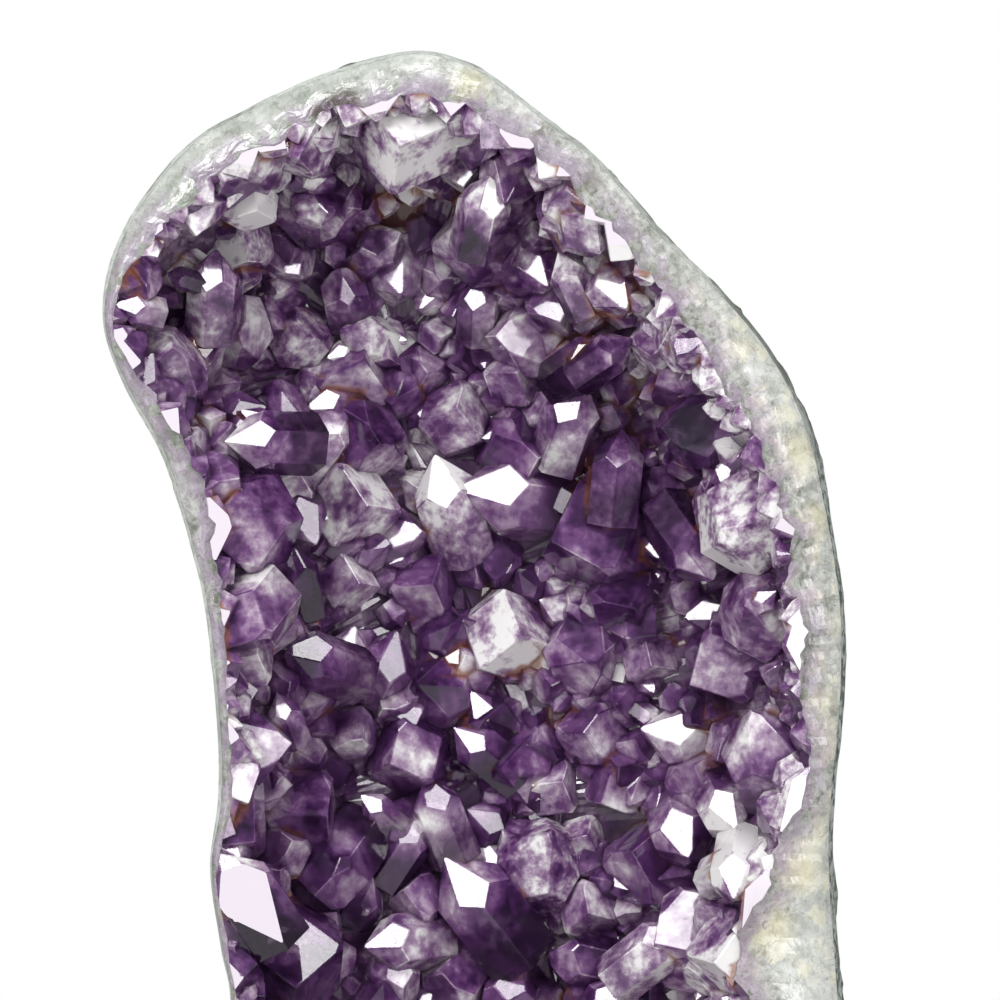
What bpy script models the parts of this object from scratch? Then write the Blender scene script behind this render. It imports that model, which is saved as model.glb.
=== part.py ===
"""Amethyst geode of the cathedral kind: half of a hollow basalt nodule, stood upright on a sawn base.

The rock is a rough basalt matrix. It holds a band of pale quartz, ground smooth round the opening, and
the hollow inside the band is lined with one crust of amethyst points.

Metres, +Z up. The origin is the middle of the geode's box at the level of the sawn base. The opening
faces -Y. Outlines are given as columns and rows of the photograph, where one pixel is PIXEL metres at
the rim, and row BASE_ROW is the base.
"""

import math
import random

import bmesh
import bpy
from mathutils import Matrix, Vector, noise
from mathutils.bvhtree import BVHTree

# Driving dimensions. FRONT is the plane of the rim, and PROUD how far points may stand out of it.
HEIGHT = 0.420
DEPTH = 0.140
HOLLOW_DEPTH = 0.086
BAND_BEHIND_HOLLOW = 0.013
CRUST = 0.011
CRUST_AT_RIM = 0.003
PROUD = 0.005
LIP = 0.0015
GAP = 0.0004
FRONT = -0.0675

# The ground edge rolls back by this share of the rim's width, within limits
EDGE_ROLL = 0.75
EDGE_ROLL_LEAST = 0.005
EDGE_ROLL_MOST = 0.020
MOST_BARE_ROCK = 0.9

# The photograph's frame
CROWN_ROW = 47
BASE_ROW = 1282
MIDDLE_COLUMN = 477.5
PIXEL = HEIGHT / (BASE_ROW - CROWN_ROW)

# Outline of the rim, the edge of the crystals inside it, and the width of bare rock outside the quartz,
# clockwise from the lower left. The rows past BASE_ROW are the end of the nodule that the saw took off.
RIM = [
    ((215, 1400), (300, 1180), 160),
    ((198, 1282), (246, 1130), 62),
    ((208, 1160), (236, 1070), 14),
    ((229, 1015), (238, 1005), 3),
    ((220, 950), (228, 945), 3),
    ((209, 870), (217, 865), 3),
    ((217, 800), (232, 800), 4),
    ((216, 725), (230, 725), 4),
    ((204, 610), (224, 610), 4),
    ((186, 535), (211, 533), 4),
    ((160, 455), (188, 446), 5),
    ((124, 388), (142, 382), 4),
    ((102, 325), (114, 327), 3),
    ((108, 262), (131, 267), 5),
    ((135, 203), (172, 217), 5),
    ((185, 142), (225, 170), 5),
    ((245, 105), (280, 138), 5),
    ((330, 68), (345, 108), 5),
    ((415, 47), (415, 98), 5),
    ((480, 65), (458, 106), 5),
    ((550, 118), (522, 146), 5),
    ((605, 162), (575, 192), 5),
    ((665, 232), (635, 258), 5),
    ((722, 287), (686, 322), 5),
    ((775, 350), (724, 385), 5),
    ((812, 425), (762, 452), 5),
    ((832, 510), (786, 526), 5),
    ((846, 600), (800, 608), 5),
    ((848, 690), (804, 692), 6),
    ((838, 785), (806, 785), 5),
    ((837, 870), (768, 866), 6),
    ((845, 980), (738, 970), 6),
    ((853, 1120), (786, 1100), 8),
    ((848, 1270), (748, 1180), 44),
    ((790, 1440), (640, 1196), 204),
    ((520, 1545), (480, 1200), 275),
    ((310, 1510), (370, 1194), 250),
]

# Middle line of the nodule, from the crown down. The hollow and the back both deepen towards it.
SPINE = [(390, 340), (440, 480), (500, 640), (525, 800), (535, 960), (530, 1120)]

# Crystals with a face turned to the light: column and row of the point, length of the bright face in
# pixels, and the way the point lies from the middle of the face, in degrees from the right.
BRIGHT_POINTS = [
    (398, 287, 76, -68),
    (549, 281, 62, -55),
    (628, 307, 50, -60),
    (588, 376, 48, 60),
    (457, 488, 68, 180),
    (432, 452, 56, 105),
    (222, 441, 48, 190),
    (664, 561, 50, -65),
    (727, 491, 42, -85),
    (645, 737, 54, 175),
    (441, 869, 66, 128),
    (504, 881, 46, -35),
    (359, 962, 46, 200),
    (221, 853, 52, 125),
    (741, 835, 46, -60),
    (480, 436, 40, 195),
    (515, 222, 40, -80),
    (283, 545, 38, 100),
    (350, 630, 40, 70),
]

# Other large crystals: column and row of the point, and width in pixels
DULL_POINTS = [
    (325, 208, 88), (452, 222, 92), (505, 200, 62), (196, 236, 58), (255, 208, 56),
    (300, 330, 66), (232, 330, 78), (182, 402, 66), (270, 376, 58), (455, 404, 70),
    (662, 426, 84), (552, 542, 104), (600, 470, 60), (712, 512, 62), (640, 612, 74),
    (745, 606, 92), (752, 712, 88), (240, 478, 80), (376, 442, 84), (364, 506, 88),
    (355, 586, 58), (286, 612, 78), (430, 588, 68), (456, 622, 58), (524, 640, 88),
    (252, 752, 78), (324, 822, 88), (386, 772, 74), (550, 846, 90), (636, 862, 92),
    (310, 905, 70), (722, 852, 66), (745, 905, 60), (656, 950, 104), (592, 928, 60),
    (400, 905, 56), (440, 990, 66), (586, 742, 66), (726, 398, 58), (632, 246, 72),
    (492, 116, 70), (400, 146, 110), (300, 130, 60), (330, 700, 60), (255, 930, 56),
]

# Points that fill the rest of the crust
FILL_LARGEST = 0.0195
FILL_SMALLEST = 0.0125
FILL_TRIES = 2600
CROWDING = 0.76
STEEP = -0.30
STEEP_SMALLEST = 0.0150
SEED = 7

# Proportions of the points, in radii: how far the tip stands over the bed, how deep the foot is sunk,
# and the shortest and longest point. A bright face is FACE_LENGTH radii long as it is seen.
BRIGHT_RISE = 1.0
DULL_RISE = 1.3
FILL_RISE = 1.1
SUNK = 0.25
LEAST_LEAN = 0.40
SHORTEST = 1.8
LONGEST = 3.6
FACE_LENGTH = 1.45
DULL_SWELL = 1.15

# Quartz: the steep faces of a point stand at this angle to the crystal's base
FACE_ANGLE = math.radians(51.8)

# A bright face is turned half-way between the eye and the lamp
EYE = Vector((0.0, -1.55, 0.266))
LAMP = Vector((-0.55, -1.10, 1.05))

# Sampling of the rim, and the steps from the rim to the middle of the back
CURVE_STEPS = 12
ROUND_STEPS = 48
LAST_TURN = math.radians(83)
HOLLOW_TURNS = [math.radians(a) for a in (0, 18, 38, 60)] + [LAST_TURN]
BACK_TURNS = [math.radians(a) for a in (14, 28, 42, 56, 70)] + [LAST_TURN]
FULL_CRUST_TURN = math.radians(50)
POLISH_STEPS = 4
LUMP = 0.0040
LUMP_SIZE = 0.045
LUMPS_START = 0.02
LUMPS_FULL = 0.05
BED_LUMP = 0.0035
BED_LUMP_SIZE = 0.012
BACK_SQUARENESS = 2.45
HOLLOW_SQUARENESS = 2.3
BAND_SQUARENESS = 2.0


def clear_scene():
    for obj in list(bpy.data.objects):
        bpy.data.objects.remove(obj)


def new_collection(name):
    collection = bpy.data.collections.new(name)
    bpy.context.scene.collection.children.link(collection)
    return collection


def stone_material(name, colour, roughness):
    material = bpy.data.materials.new(name)
    material.use_nodes = True
    shader = material.node_tree.nodes["Principled BSDF"]
    shader.inputs["Base Color"].default_value = (*colour, 1.0)
    shader.inputs["Roughness"].default_value = roughness
    shader.inputs["Metallic"].default_value = 0.0
    return material


def on_rim(column, row):
    """The point of the rim's plane that lies at this column and row, as (x, z)."""
    return Vector(((column - MIDDLE_COLUMN) * PIXEL, (BASE_ROW - row) * PIXEL))


def smooth_between(before, start, end, after, share):
    """A point of the smooth curve from start to end, at a share of the way."""
    bend_out = (end - before) / 2
    bend_in = (after - start) / 2
    straight = end - start
    square = share * share
    cube = square * share
    run = straight * (3 * square - 2 * cube)
    return start + run + bend_out * (share - 2 * square + cube) + bend_in * (cube - square)


def smooth_ring(points, steps):
    """Evenly spaced points on the closed smooth curve through points."""
    count = len(points)
    dense = []
    for i in range(count):
        around = [points[(i + k) % count] for k in (-1, 0, 1, 2)]
        dense += [smooth_between(*around, k / CURVE_STEPS) for k in range(CURVE_STEPS)]
    lengths = [0.0]
    for i, point in enumerate(dense):
        lengths.append(lengths[-1] + Vector((dense[(i + 1) % len(dense)] - point)[:2]).length)
    ring = []
    k = 0
    for i in range(steps):
        target = lengths[-1] * i / steps
        while lengths[k + 1] < target:
            k += 1
        share = (target - lengths[k]) / (lengths[k + 1] - lengths[k])
        ring.append(dense[k].lerp(dense[(k + 1) % len(dense)], share))
    return ring


def nearest_on_spine(point):
    """The point of the middle line closest to point."""
    line = [on_rim(*place) for place in SPINE]
    best = line[0]
    for start, end in zip(line, line[1:]):
        along = end - start
        share = (point - start).dot(along) / along.length_squared
        found = start + along * min(max(share, 0.0), 1.0)
        if (point - found).length < (point - best).length:
            best = found
    return best


class Rib:
    """One spoke of the geode: where it meets the outline, the opening and the middle line."""

    def __init__(self, outline, opening, rock):
        self.outline = outline
        self.opening = opening
        self.middle = nearest_on_spine(outline)
        width = (outline - opening).length
        self.drop = min(max(EDGE_ROLL * width, EDGE_ROLL_LEAST), EDGE_ROLL_MOST)
        self.rock = min(rock / width, MOST_BARE_ROCK)
        inside = 1 - self.rock
        self.seam = opening.lerp(outline, inside)
        self.seam_depth = self.polish_depth(inside)

    def polish_depth(self, share):
        """Depth of the ground face at a share of the way from the opening to the outline."""
        return self.drop * (1 - math.sqrt(max(1 - share * share, 0.0)))

    def polished(self, share):
        flat = self.opening.lerp(self.outline, share)
        return row_point(flat, self.polish_depth(share))

    def bowl(self, edge, edge_depth, floor, squareness, turn, inset=0.0):
        """A point of the bowl that hangs from edge. Turn 0 is the edge and LAST_TURN the flat bottom."""
        power = 2 / squareness
        out = edge - self.middle
        out = out * (1 - inset / out.length)
        flat = self.middle + out * math.cos(turn) ** power
        down = 1.0 if turn == LAST_TURN else math.sin(turn) ** power
        return row_point(flat, edge_depth + (floor - inset - edge_depth) * down)


def row_point(flat, depth):
    return Vector((flat.x, FRONT + depth, flat.y))


def make_ribs():
    outlines, openings, rocks = zip(*RIM)
    corners = [
        Vector((*on_rim(*outline), *on_rim(*opening), rock * PIXEL))
        for outline, opening, rock in zip(outlines, openings, rocks)
    ]
    return [Rib(Vector(p[:2]), Vector(p[2:4]), p[4]) for p in smooth_ring(corners, ROUND_STEPS)]


def ring_solid(name, rings):
    """A closed mesh through rings of equally many points, its two ends filled flat.

    Each four-sided patch is split from its front corner, so that nested surfaces are split alike.
    """
    bm = bmesh.new()
    loops = [[bm.verts.new(point) for point in ring] for ring in rings]
    for one, other in zip(loops, loops[1:]):
        front, back = (one, other) if one[0].co.y < other[0].co.y else (other, one)
        for i in range(len(front)):
            j = (i + 1) % len(front)
            bm.faces.new((front[i], front[j], back[j]))
            bm.faces.new((front[i], back[j], back[i]))
    bm.faces.new(list(reversed(loops[0])))
    bm.faces.new(loops[-1])
    bmesh.ops.recalc_face_normals(bm, faces=bm.faces)
    mesh = bpy.data.meshes.new(name)
    bm.to_mesh(mesh)
    bm.free()
    return mesh


def add_object(name, mesh, collection, material=None):
    obj = bpy.data.objects.new(name, mesh)
    collection.objects.link(obj)
    if material:
        mesh.materials.append(material)
    return obj


def saw_base(mesh):
    """Cuts the mesh flat at the level of the base and closes the cut."""
    bm = bmesh.new()
    bm.from_mesh(mesh)
    everything = bm.verts[:] + bm.edges[:] + bm.faces[:]
    bmesh.ops.bisect_plane(bm, geom=everything, plane_co=(0, 0, 0), plane_no=(0, 0, -1), clear_outer=True)
    open_edges = [edge for edge in bm.edges if edge.is_boundary]
    bmesh.ops.triangle_fill(bm, edges=open_edges, use_dissolve=True, normal=(0, 0, -1))
    bmesh.ops.recalc_face_normals(bm, faces=bm.faces)
    bm.to_mesh(mesh)
    bm.free()


def band_back(rib, turn, inset=0.0):
    floor = HOLLOW_DEPTH + BAND_BEHIND_HOLLOW
    return rib.bowl(rib.seam, rib.seam_depth, floor, BAND_SQUARENESS, turn, inset)


def hollow_wall(rib, turn, inset=0.0):
    return rib.bowl(rib.opening, 0.0, HOLLOW_DEPTH, HOLLOW_SQUARENESS, turn, inset)


def lumpy(point):
    """Pushes a point of the rough back in or out a little. The ground edge at the front stays true."""
    reach = (point.y - FRONT - LUMPS_START) / (LUMPS_FULL - LUMPS_START)
    reach = min(max(reach, 0.0), 1.0)
    away = Vector((point.x, point.y + DEPTH / 4, (point.z - HEIGHT / 2) / 2)).normalized()
    return point + away * noise.noise(point / LUMP_SIZE) * LUMP * reach


def make_basalt(ribs, collection):
    """The rough outer rock, from its thin edge at the rim to the back."""
    inner = [[band_back(rib, turn, -GAP) for rib in ribs] for turn in reversed(HOLLOW_TURNS)]
    edge = [row_point(rib.outline, rib.drop) for rib in ribs]
    outer = []
    for turn in BACK_TURNS:
        ring = [rib.bowl(rib.outline, rib.drop, DEPTH, BACK_SQUARENESS, turn) for rib in ribs]
        outer.append(ring if turn == LAST_TURN else [lumpy(point) for point in ring])
    mesh = ring_solid("basalt_matrix", inner + [edge] + outer)
    saw_base(mesh)
    material = stone_material("basalt", (0.10, 0.12, 0.11), 0.85)
    return add_object("basalt_matrix", mesh, collection, material)


def make_band(ribs, collection):
    """The pale quartz between the rock and the crystals, with its ground and polished rim."""
    wall = [[hollow_wall(rib, turn) for rib in ribs] for turn in reversed(HOLLOW_TURNS)]
    polish = []
    for step in range(1, POLISH_STEPS):
        share = step / POLISH_STEPS
        polish.append([rib.polished(share * (1 - rib.rock)) for rib in ribs])
    back = [[band_back(rib, turn) for rib in ribs] for turn in HOLLOW_TURNS]
    mesh = ring_solid("quartz_band", wall + polish + back)
    saw_base(mesh)
    material = stone_material("quartz", (0.78, 0.79, 0.76), 0.25)
    return add_object("quartz_band", mesh, collection, material)


def crust_bed(ribs):
    """The layer that the points grow from. Its back reaches into the band, and is trimmed later."""
    behind = [[hollow_wall(rib, turn, -2 * LIP) for rib in ribs] for turn in reversed(HOLLOW_TURNS)]
    front = []
    for turn in HOLLOW_TURNS:
        thickness = CRUST_AT_RIM + (CRUST - CRUST_AT_RIM) * min(turn / FULL_CRUST_TURN, 1.0)
        ring = []
        for rib in ribs:
            point = rib.bowl(rib.opening, LIP, HOLLOW_DEPTH, HOLLOW_SQUARENESS, turn, thickness)
            swell = noise.noise(point / BED_LUMP_SIZE) * BED_LUMP
            ring.append(point - Vector((0, swell, 0)))
        front.append(ring)
    return ring_solid("crust_bed", behind + front)


def hollow_space(ribs):
    """All the room inside the band, out to where points may stand proud of the rim."""
    wall = [[hollow_wall(rib, turn, GAP) for rib in ribs] for turn in reversed(HOLLOW_TURNS)]
    proud = [point - Vector((0, PROUD, 0)) for point in wall[-1]]
    return ring_solid("hollow_space", wall + [proud])


def add_crystal(bm, tip, axis, towards, radius, uneven, length):
    """Adds one six-sided quartz point to bm.

    It grows along axis to its tip. One steep face looks towards the given direction, and every second
    face is set back by uneven times the radius, as in real quartz.
    """
    side = (towards - axis * towards.dot(axis)).normalized()
    turn = Matrix((side, axis.cross(side), axis)).transposed().to_4x4()
    prism = bmesh.new()
    bmesh.ops.create_cone(prism, segments=6, radius1=radius, radius2=radius, depth=length, cap_ends=True)
    bmesh.ops.rotate(prism, verts=prism.verts, matrix=Matrix.Rotation(math.radians(30), 3, "Z"))
    bmesh.ops.translate(prism, verts=prism.verts, vec=(0, 0, radius * SUNK - length / 2))
    for k in range(6):
        heading = math.radians(60 * k)
        steep = math.sin(FACE_ANGLE)
        normal = Vector((steep * math.cos(heading), steep * math.sin(heading), math.cos(FACE_ANGLE)))
        through = normal * (uneven * radius if k % 2 else 0.0)
        everything = prism.verts[:] + prism.edges[:] + prism.faces[:]
        bmesh.ops.bisect_plane(
            prism, geom=everything, plane_co=through, plane_no=normal, clear_outer=True
        )
        bmesh.ops.holes_fill(prism, edges=[edge for edge in prism.edges if edge.is_boundary])
    bmesh.ops.remove_doubles(prism, verts=prism.verts, dist=radius * 0.002)
    bmesh.ops.recalc_face_normals(prism, faces=prism.faces)
    bmesh.ops.transform(prism, verts=prism.verts, matrix=Matrix.Translation(tip) @ turn)
    mesh = bpy.data.meshes.new("point")
    prism.to_mesh(mesh)
    prism.free()
    bm.from_mesh(mesh)
    bpy.data.meshes.remove(mesh)


def bed_under(tree, flat):
    """The bed's point and outward normal behind a place on the rim's plane, or None outside the hollow."""
    spot, normal, _, _ = tree.ray_cast(row_point(flat, -0.05), Vector((0, 1, 0)))
    if spot is None:
        return None
    return spot, normal if normal.y < 0 else -normal


class Planner:
    """Decides where each point of the crust stands, over a bed given as a tree of its faces."""

    def __init__(self, tree):
        self.tree = tree
        self.rng = random.Random(SEED)
        self.plans = []
        self.taken = []

    def add(self, place, radius, rise, uneven, aim):
        """Plans a point in front of place on the rim's plane. aim gives its axis and its turn."""
        found = bed_under(self.tree, place)
        if found is None:
            return
        spot, normal = found
        ahead = rise * radius / max(-normal.y, LEAST_LEAN)
        tip = Vector((spot.x, max(spot.y - ahead, FRONT - PROUD / 2), spot.z))
        axis, towards = aim(tip, normal)
        buried = (rise + SUNK) * radius / max(axis.dot(normal), LEAST_LEAN)
        length = min(max(buried, SHORTEST * radius), LONGEST * radius) + radius * SUNK
        self.plans.append((tip, axis, towards, radius, uneven, length))
        self.taken.append((spot, radius))

    def add_bright(self, column, row, length, way):
        def aim(tip, normal):
            shine = ((EYE - tip).normalized() + (LAMP - tip).normalized()).normalized()
            angle = math.radians(way)
            across = Vector((math.cos(angle), 0, math.sin(angle)))
            along = (across - shine * across.dot(shine)).normalized()
            return shine * math.cos(FACE_ANGLE) + along * math.sin(FACE_ANGLE), shine

        radius = length * PIXEL / FACE_LENGTH
        self.add(on_rim(column, row), radius, BRIGHT_RISE, self.rng.uniform(0.0, 0.10), aim)

    def add_dull(self, place, radius, rise, forward, spread):
        rng = self.rng

        def aim(tip, normal):
            shift = Vector([rng.gauss(0, spread) for _ in range(3)])
            towards = Vector([rng.uniform(-1, 1) for _ in range(3)])
            axis = (normal + Vector((0, -forward, 0))).normalized() + shift
            return axis.normalized(), towards.normalized()

        self.add(place, radius, rise, rng.uniform(0.0, 0.35), aim)

    def fill(self, tries, largest, smallest):
        """Points wherever there is room, the largest first."""
        rng = self.rng
        low, high = on_rim(100, BASE_ROW), on_rim(850, CROWN_ROW)
        for k in range(tries):
            place = Vector((rng.uniform(low.x, high.x), rng.uniform(low.y, high.y)))
            radius = largest * (smallest / largest) ** (k / tries) * rng.uniform(0.85, 1.15)
            found = bed_under(self.tree, place)
            if found is None or (found[1].y > STEEP and radius < STEEP_SMALLEST):
                continue
            if all((found[0] - spot).length > CROWDING * (radius + size) for spot, size in self.taken):
                self.add_dull(place, radius, FILL_RISE, 0.3, 0.3)


def plan_crystals(tree):
    """Every point of the crust, as the arguments of add_crystal."""
    planner = Planner(tree)
    for point in BRIGHT_POINTS:
        planner.add_bright(*point)
    for column, row, width in DULL_POINTS:
        planner.add_dull(on_rim(column, row), DULL_SWELL * width * PIXEL / 2, DULL_RISE, 0.55, 0.35)
    planner.fill(FILL_TRIES, FILL_LARGEST, FILL_SMALLEST)
    return planner.plans


def join_solids(obj, other, operation, within=False):
    """Applies a Boolean to obj, keeping the result as its mesh."""
    modifier = obj.modifiers.new("join", "BOOLEAN")
    modifier.operation = operation
    modifier.object = other
    modifier.solver = "EXACT"
    modifier.use_self = within
    graph = bpy.context.evaluated_depsgraph_get()
    mesh = bpy.data.meshes.new_from_object(obj.evaluated_get(graph))
    obj.modifiers.clear()
    obj.data = mesh


def keep_largest_piece(mesh):
    """Drops crumbs that the trimming cut loose from the crust."""
    bm = bmesh.new()
    bm.from_mesh(mesh)
    left = set(bm.verts)
    islands = []
    while left:
        front = [left.pop()]
        island = set(front)
        while front:
            near = [edge.other_vert(vert) for vert in front for edge in vert.link_edges]
            front = [vert for vert in set(near) if vert in left]
            left.difference_update(front)
            island.update(front)
        islands.append(island)
    largest = max(islands, key=len)
    crumbs = [vert for island in islands if island is not largest for vert in island]
    bmesh.ops.delete(bm, geom=crumbs, context="VERTS")
    bm.to_mesh(mesh)
    bm.free()


def make_crust(ribs, collection, tools):
    """The amethyst: a bed and its points grown together, trimmed to the hollow."""
    bed_mesh = crust_bed(ribs)
    tree_bm = bmesh.new()
    tree_bm.from_mesh(bed_mesh)
    tree = BVHTree.FromBMesh(tree_bm)
    tree_bm.free()
    bm = bmesh.new()
    for plan in plan_crystals(tree):
        add_crystal(bm, *plan)
    points_mesh = bpy.data.meshes.new("points")
    bm.to_mesh(points_mesh)
    bm.free()
    material = stone_material("amethyst", (0.20, 0.11, 0.27), 0.12)
    crust = add_object("amethyst_crust", bed_mesh, collection, material)
    points = add_object("points_tool", points_mesh, tools)
    space = add_object("hollow_tool", hollow_space(ribs), tools)
    for tool in (points, space):
        tool.hide_render = True
        tool.display_type = "WIRE"
    join_solids(crust, points, "UNION", within=True)
    join_solids(crust, space, "INTERSECT")
    keep_largest_piece(crust.data)
    return crust


def main():
    clear_scene()
    geode = new_collection("amethyst_geode")
    tools = new_collection("cutting_tools")
    ribs = make_ribs()
    make_basalt(ribs, geode)
    make_band(ribs, geode)
    make_crust(ribs, geode, tools)


main()
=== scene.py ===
"""Looks of the amethyst geode: rough basalt, a ground rim of pale quartz, and a crust of clear points.

Places on the front are columns and rows of the photograph, as in the part's own source: one pixel is
PIXEL metres at the rim, and row BASE_ROW is the sawn base. Metres, +Z up, and the opening faces -Y.
"""

import math
import random

import bmesh
import bpy
import numpy as np
from mathutils import Matrix, Vector, kdtree, noise
from mathutils.bvhtree import BVHTree


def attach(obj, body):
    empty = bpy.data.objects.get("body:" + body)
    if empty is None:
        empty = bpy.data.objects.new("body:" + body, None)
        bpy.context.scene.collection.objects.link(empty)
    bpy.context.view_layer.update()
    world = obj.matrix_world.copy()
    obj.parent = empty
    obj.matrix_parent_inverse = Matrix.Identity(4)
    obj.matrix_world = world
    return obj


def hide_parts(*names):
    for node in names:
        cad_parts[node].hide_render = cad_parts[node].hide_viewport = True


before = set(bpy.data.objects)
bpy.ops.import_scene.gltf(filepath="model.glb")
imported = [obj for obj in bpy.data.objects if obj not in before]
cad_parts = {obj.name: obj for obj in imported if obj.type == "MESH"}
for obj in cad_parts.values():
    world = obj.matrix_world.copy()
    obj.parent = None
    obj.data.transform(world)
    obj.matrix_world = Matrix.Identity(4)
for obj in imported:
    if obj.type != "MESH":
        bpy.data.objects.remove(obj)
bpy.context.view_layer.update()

# Driving dimensions, the same as the part's
HEIGHT = 0.420
DEPTH = 0.140
HOLLOW_DEPTH = 0.086
BAND_BEHIND_HOLLOW = 0.013
CRUST = 0.011
CRUST_AT_RIM = 0.003
PROUD = 0.005
LIP = 0.0015
TOUCH = 0.00005
FRONT = -0.0675
EDGE_ROLL = 0.75
EDGE_ROLL_LEAST = 0.005
EDGE_ROLL_MOST = 0.020
MOST_BARE_ROCK = 0.9
CROWN_ROW = 47
BASE_ROW = 1282
LEFT_COLUMN = 100
MIDDLE_COLUMN = 477.5
RIGHT_COLUMN = 850
PIXEL = HEIGHT / (BASE_ROW - CROWN_ROW)

# Outline of the rim, the edge of the crystals inside it, and the width of bare rock outside the quartz
RIM = [
    ((215, 1400), (300, 1180), 160),
    ((198, 1282), (246, 1130), 62),
    ((208, 1160), (236, 1070), 14),
    ((229, 1015), (238, 1005), 3),
    ((220, 950), (228, 945), 3),
    ((209, 870), (217, 865), 3),
    ((217, 800), (232, 800), 4),
    ((216, 725), (230, 725), 4),
    ((204, 610), (224, 610), 4),
    ((186, 535), (211, 533), 4),
    ((160, 455), (188, 446), 5),
    ((124, 388), (142, 382), 4),
    ((102, 325), (114, 327), 3),
    ((108, 262), (131, 267), 5),
    ((135, 203), (172, 217), 5),
    ((185, 142), (225, 170), 5),
    ((245, 105), (280, 138), 5),
    ((330, 68), (345, 108), 5),
    ((415, 47), (415, 98), 5),
    ((480, 65), (458, 106), 5),
    ((550, 118), (522, 146), 5),
    ((605, 162), (575, 192), 5),
    ((665, 232), (635, 258), 5),
    ((722, 287), (686, 322), 5),
    ((775, 350), (724, 385), 5),
    ((812, 425), (762, 452), 5),
    ((832, 510), (786, 526), 5),
    ((846, 600), (800, 608), 5),
    ((848, 690), (804, 692), 6),
    ((838, 785), (806, 785), 5),
    ((837, 870), (768, 866), 6),
    ((845, 980), (738, 970), 6),
    ((853, 1120), (786, 1100), 8),
    ((848, 1270), (748, 1180), 44),
    ((790, 1440), (640, 1196), 204),
    ((520, 1545), (480, 1200), 275),
    ((310, 1510), (370, 1194), 250),
]

# Middle line of the nodule, from the crown down
SPINE = [(390, 340), (440, 480), (500, 640), (525, 800), (535, 960), (530, 1120)]

# Crystals with a face turned to the light: column and row of the point, length of the bright face in
# pixels, and the way the point lies from the middle of the face, in degrees from the right.
BRIGHT_POINTS = [
    (398, 287, 76, -68),
    (549, 281, 62, -55),
    (628, 307, 50, -60),
    (588, 376, 48, 60),
    (457, 488, 68, 180),
    (432, 452, 56, 105),
    (222, 441, 48, 190),
    (664, 561, 50, -65),
    (727, 491, 42, -85),
    (645, 737, 54, 175),
    (441, 869, 66, 128),
    (504, 881, 46, -35),
    (359, 962, 46, 200),
    (221, 853, 52, 125),
    (741, 835, 46, -60),
    (480, 436, 40, 195),
    (515, 222, 40, -80),
    (283, 545, 38, 100),
    (350, 630, 40, 70),
]

# Other large crystals: column and row of the point, and width in pixels
DULL_POINTS = [
    (325, 208, 88), (452, 222, 92), (505, 200, 62), (196, 236, 58), (255, 208, 56),
    (300, 330, 66), (232, 330, 78), (182, 402, 66), (270, 376, 58), (455, 404, 70),
    (662, 426, 84), (552, 542, 104), (600, 470, 60), (712, 512, 62), (640, 612, 74),
    (745, 606, 92), (752, 712, 88), (240, 478, 80), (376, 442, 84), (364, 506, 88),
    (355, 586, 58), (286, 612, 78), (430, 588, 68), (456, 622, 58), (524, 640, 88),
    (252, 752, 78), (324, 822, 88), (386, 772, 74), (550, 846, 90), (636, 862, 92),
    (310, 905, 70), (722, 852, 66), (745, 905, 60), (656, 950, 104), (592, 928, 60),
    (400, 905, 56), (440, 990, 66), (586, 742, 66), (726, 398, 58), (632, 246, 72),
    (492, 116, 70), (400, 146, 110), (300, 130, 60), (330, 700, 60), (255, 930, 56),
]
FILL_LARGEST = 0.0195
FILL_SMALLEST = 0.0125
FILL_TRIES = 2600
CROWDING = 0.76
STEEP = -0.30
STEEP_SMALLEST = 0.0150
SEED = 7
BRIGHT_RISE = 1.0
DULL_RISE = 1.3
FILL_RISE = 1.1
FILL_VARIES = 0.15
BRIGHT_UNEVEN = 0.10
DULL_UNEVEN = 0.35
DULL_FORWARD = 0.55
DULL_SPREAD = 0.35
FILL_FORWARD = 0.3
FILL_SPREAD = 0.3
SUNK = 0.25
LEAST_LEAN = 0.40
SHORTEST = 1.8
LONGEST = 3.6
FACE_LENGTH = 1.45
DULL_SWELL = 1.15
FACE_ANGLE = math.radians(51.8)
EYE = Vector((0.0, -1.55, 0.266))
LAMP = Vector((-0.55, -1.10, 1.05))
DIM_LAMPS = [Vector((0.85, -0.95, 0.45)), Vector((0.10, -0.55, 1.25))]

# Smaller crystals between those
SMALL_BRIGHT_POINTS = [
    (412, 301, 36, -120), (480, 268, 34, 80), (526, 452, 34, 190), (484, 362, 28, -75),
    (273, 696, 28, 110), (300, 404, 32, 200), (660, 700, 24, -60), (356, 806, 26, 140),
    (287, 983, 34, 40), (470, 700, 34, 120), (505, 762, 30, 10),
]
SMALL_DULL_POINTS = [
    (238, 272, 52), (150, 300, 54), (142, 376, 52), (385, 352, 50), (652, 480, 46),
    (776, 556, 46), (548, 972, 52), (640, 748, 42), (722, 768, 52), (762, 434, 44),
    (676, 356, 52), (566, 190, 54), (700, 560, 46), (420, 700, 52), (690, 300, 50),
]
SMALL_FILL_LARGEST = 0.0110
SMALL_FILL_SMALLEST = 0.0035
SMALL_FILL_TRIES = 9000
SMALL_CROWDING = 0.5
SMALL_LIT = 0.15
SMALL_LIT_BY_KEY = 0.35

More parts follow.
